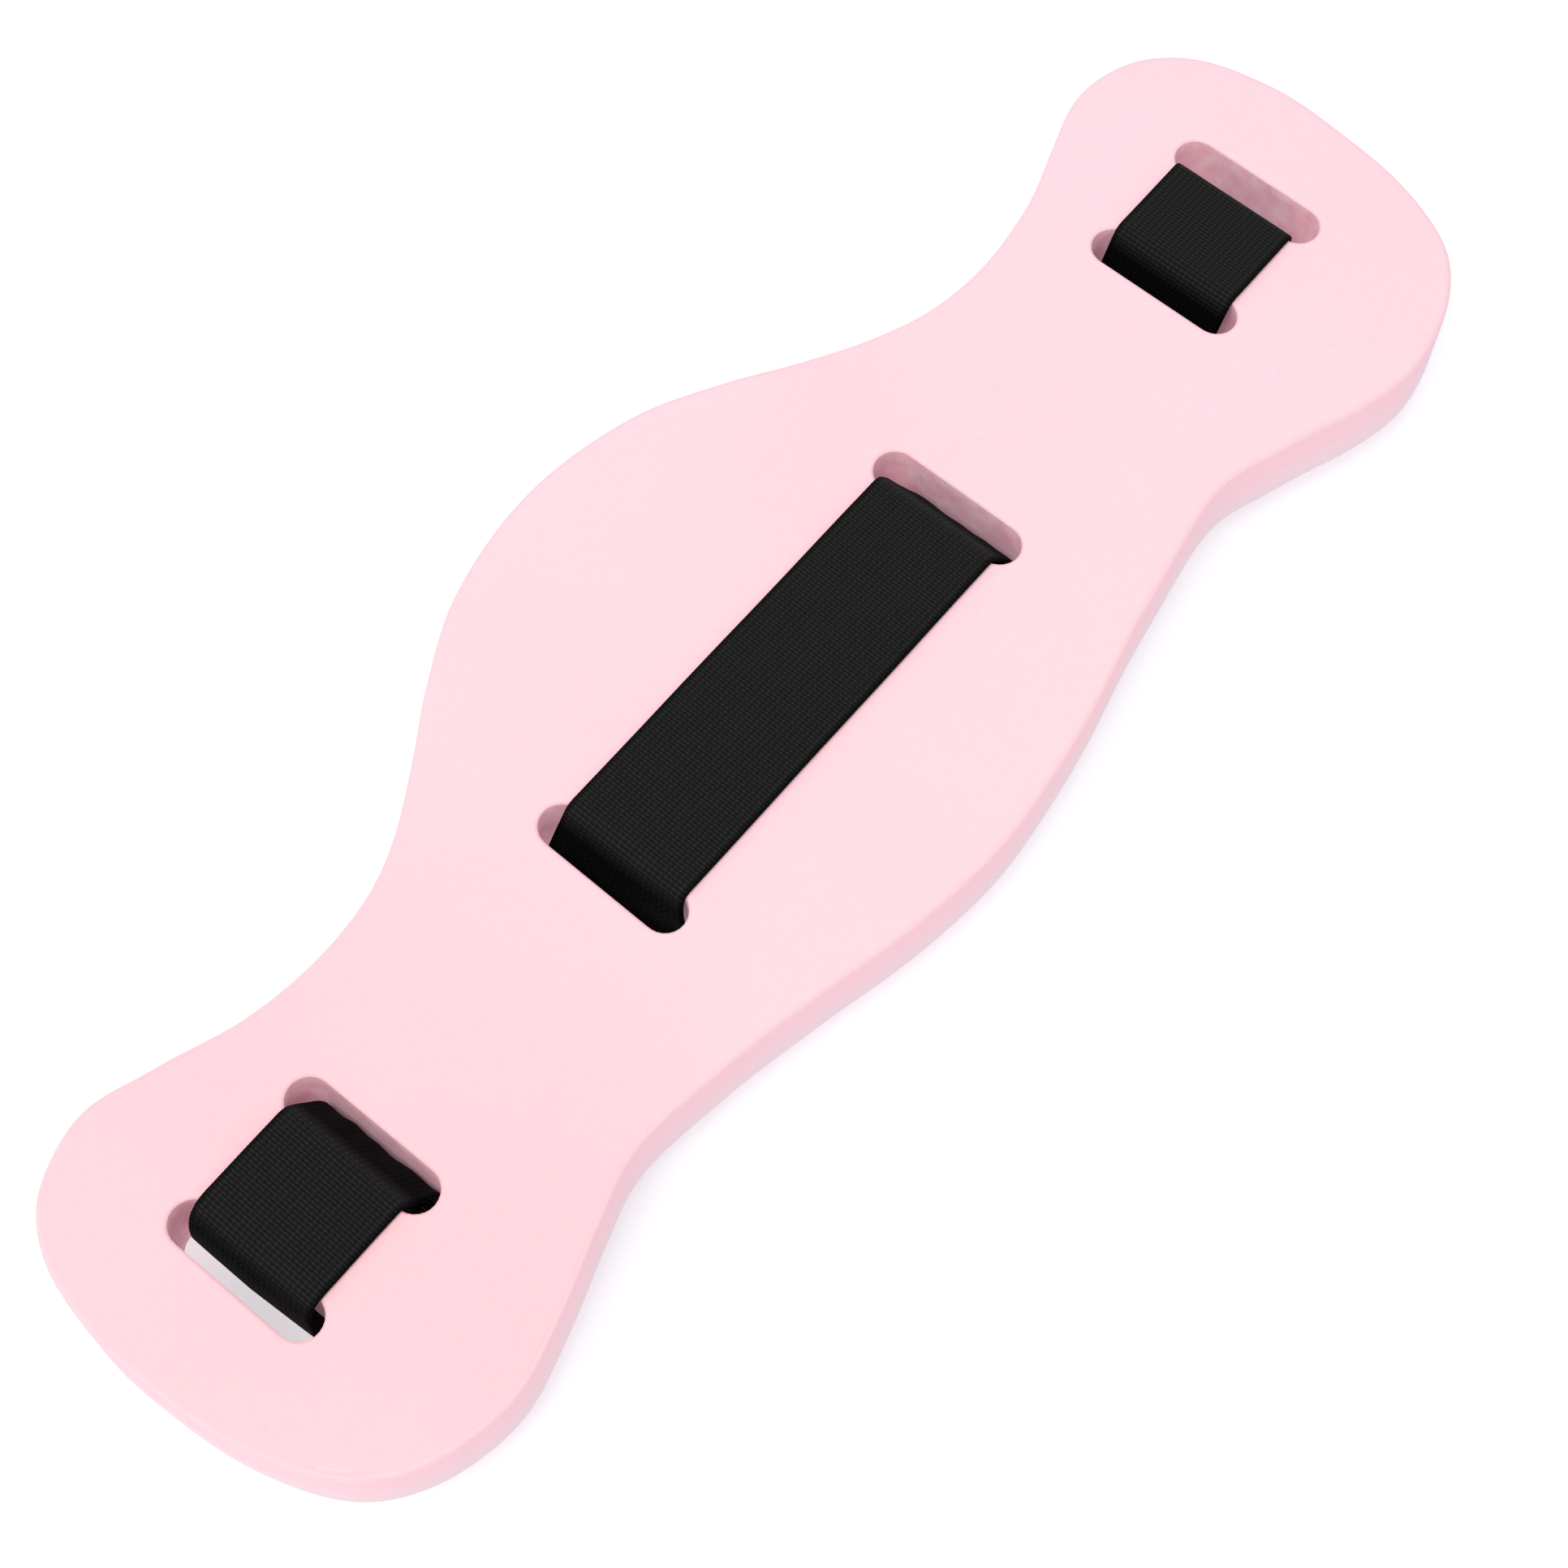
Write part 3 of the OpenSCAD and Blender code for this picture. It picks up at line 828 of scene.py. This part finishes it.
# fixed end: round the socket's bar, sewn back on itself
WRAP_R = RUN_Z - MID_Z
end_path = [(-190.0, RUN_Z)] + arc(BAR_X, MID_Z, WRAP_R, 90, -90, 20)
tail = catmull([(BAR_X, MID_Z - WRAP_R), (BAR_X - 3.2, 3.3), (BAR_X - 6.5, 5.4), (BAR_X - 9.6, 7.1), (BAR_X - 13, LOOSE_Z), (BAR_X - 20, LOOSE_Z)], 8, closed=False)
end_path += [tuple(a) for a in tail[1:]] + [(BAR_X - 38, LOOSE_Z)]
end_left, _ = ribbon("strap_end_sewn", end_path, "left_end", -130.0, cap=(False, True))
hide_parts("strap_end_left")

# adjustable end
run, s_run = ribbon("strap_run", [(190.0, RUN_Z), (60.0, RUN_Z)], None, s_r)
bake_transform(run)
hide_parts("strap_run_right")
G0, G1, GZ, OVER = SHOULDER + 14, SHOULDER + 19, 2.4, 1.05
wrap_path = [(60.0, RUN_Z)] + arc(G0 - OVER + 2.4, RUN_Z - 2.4, 2.4, 90, 180)
wrap_path += arc(G0 + 1, GZ + 1, OVER + 1, 180, 270) + arc(G1 - 1, GZ + 1, OVER + 1, -90, 0)
wrap_path += arc(G1 + OVER + 2.6, LOOSE_Z - 2.6, 2.6, 180, 90) + [(60.0, LOOSE_Z)]
wrap, s_wrap = ribbon("strap_wrap", wrap_path, "plug", s_run)
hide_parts("strap_ladder_wrap")
HEM1 = h_hi.x / MM
HEM0 = h_lo.x / MM
loose, s_loose = ribbon("strap_loose", [(60.0, LOOSE_Z), (HEM0 + 0.1, LOOSE_Z)], None, s_wrap)
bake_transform(loose)
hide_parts("strap_loose_end")
hem_path = [(HEM0, LOOSE_Z)] + arc(HEM1 - 1.55, LOOSE_Z - 0.8, 0.8, 90, -90, 10) + [(HEM0 + 1, LOOSE_Z - 1.6)]
hem, _ = ribbon("strap_hem_fold", hem_path, "loose_tip", s_loose, cap=(False, True))
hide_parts("strap_hem")


# ---------------------------------------------------------------- stitches
def stitches(name, lines, body, node, length=2.5, gap=0.75, r=0.26):
    """Rows of sewn stitches: each line is (start, end, side) in mm, side +1 on top and -1 below."""
    bm = bmesh.new()
    for a, b, side in lines:
        a, b = Vector(a), Vector(b)
        d = b - a
        n = max(1, int(round(d.length / (length + gap))))
        u = d.normalized()
        across = Vector((0, 0, 1)).cross(u).normalized()
        for i in range(n):
            c = a + d * ((i + 0.5) / n)
            half = (d.length / n - gap) / 2
            rings = []
            steps, around = 7, 8
            for k in range(steps):
                f = -1 + 2 * k / (steps - 1)
                rad = r * math.sqrt(max(0.02, 1 - abs(f) ** 3))
                dip = -abs(f) ** 2.5 * 0.34 * side
                ring = []
                for j in range(around):
                    g = 2 * math.pi * j / around
                    ring.append(bm.verts.new((c + u * (f * half) + across * (rad * math.cos(g)) + Vector((0, 0, rad * math.sin(g) * 0.8 + dip))) * MM))
                rings.append(ring)
            for p, q in zip(rings, rings[1:]):
                for j in range(around):
                    bm.faces.new((p[j], p[(j + 1) % around], q[(j + 1) % around], q[j]))
            bm.faces.new(rings[0][::-1])
            bm.faces.new(rings[-1])
    bmesh.ops.recalc_face_normals(bm, faces=bm.faces)
    me = bpy.data.meshes.new(name)
    bm.to_mesh(me)
    bm.free()
    me.polygons.foreach_set("use_smooth", [True] * len(me.polygons))
    ob = bpy.data.objects.new(name, me)
    bpy.context.scene.collection.objects.link(ob)
    me.materials.append(THREAD)
    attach(ob, body)
    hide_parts(node)
    return ob


lines = []
cx = BAR_X - 26
for side, z in ((1, RUN_Z + WEB_T / 2 + 0.02), (-1, LOOSE_Z - WEB_T / 2 - 0.02)):
    x0, x1, y0, y1 = cx - 10.5, cx + 10.5, YS - 16, YS + 16
    box_ = [(x0, y0), (x1, y0), (x1, y1), (x0, y1)]
    for i in range(4):
        p, q = box_[i], box_[(i + 1) % 4]
        lines.append(((*p, z), (*q, z), side))
    lines.append(((x0, y0, z), (x1, y1, z), side))
    lines.append(((x0, y1, z), (x1, y0, z), side))
stitches("stitches_loop", lines, "left_end", "loop_stitching")
lines = []
for off in (-8, -20):
    for side, z in ((-1, LOOSE_Z - 1.6 - WEB_T / 2 - 0.02), (1, LOOSE_Z + WEB_T / 2 + 0.02)):
        lines.append(((HEM1 + off, YS - 17, z), (HEM1 + off, YS + 17, z), side))
stitches("stitches_hem", lines, "loose_tip", "hem_stitching")

# ---------------------------------------------------------------- buckle and keeper: the CAD shapes, edges broken
for n in ("buckle_socket", "buckle_plug", "prong_left", "prong_right", "strap_keeper"):
    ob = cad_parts[n]
    ob.data.materials.clear()
    ob.data.materials.append(PLASTIC)
    w = ob.modifiers.new("weld", "WELD")
    w.merge_threshold = 0.00001
    bv = ob.modifiers.new("bevel", "BEVEL")
    bv.width = 0.0006 if n.startswith("buckle") else 0.0004
    bv.segments = 3
    bv.limit_method = "ANGLE"
    bv.angle_limit = math.radians(35)
    bv.harden_normals = True
for n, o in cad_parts.items():
    if n in ("foam_board",):
        o.data.materials.clear()
        o.data.materials.append(FOAM)

# ---------------------------------------------------------------- floor and light
floor = new_mesh("floor", [(-25, -25, 0), (25, -25, 0), (25, 25, 0), (-25, 25, 0)], [(0, 1, 2, 3)], smooth=False)
fm = bpy.data.materials.new("studio_floor")
nt, N, L, bsdf = nodes_of(fm)
bsdf.inputs["Base Color"].default_value = (0.58, 0.60, 0.62, 1)
bsdf.inputs["Roughness"].default_value = 0.9
bsdf.inputs["Specular IOR Level"].default_value = 0.1
bsdf.inputs["Emission Color"].default_value = (0.93, 0.97, 1.0, 1)
bsdf.inputs["Emission Strength"].default_value = 0.5
floor.data.materials.append(fm)

world = bpy.data.worlds.new("studio")
bpy.context.scene.world = world
world.use_nodes = True
bg = world.node_tree.nodes["Background"]
bg.inputs["Color"].default_value = (0.985, 0.99, 1.0, 1)
bg.inputs["Strength"].default_value = 0.70


def area(name, loc, target, size, power, col=(1, 1, 1)):
    li = bpy.data.lights.new(name, "AREA")
    li.shape = "SQUARE"
    li.size = size
    li.energy = power
    li.color = col
    ob = bpy.data.objects.new(name, li)
    bpy.context.scene.collection.objects.link(ob)
    ob.location = loc
    ob.rotation_mode = "QUATERNION"
    ob.rotation_quaternion = (Vector(target) - Vector(loc)).to_track_quat("-Z", "Y")
    return ob


area("key", (-1.0, -0.05, 2.2), (0, 0, 0), 1.0, 30, (1.0, 0.99, 0.98))
area("end_fill", (0.60, 0.20, 1.0), (0.24, 0, 0), 0.5, 1.7, (0.72, 0.66, 1.0))

scene = bpy.context.scene
scene.view_settings.view_transform = "Standard"
scene.view_settings.look = "None"
scene.view_settings.exposure = 0.0
scene.view_settings.gamma = 1.0
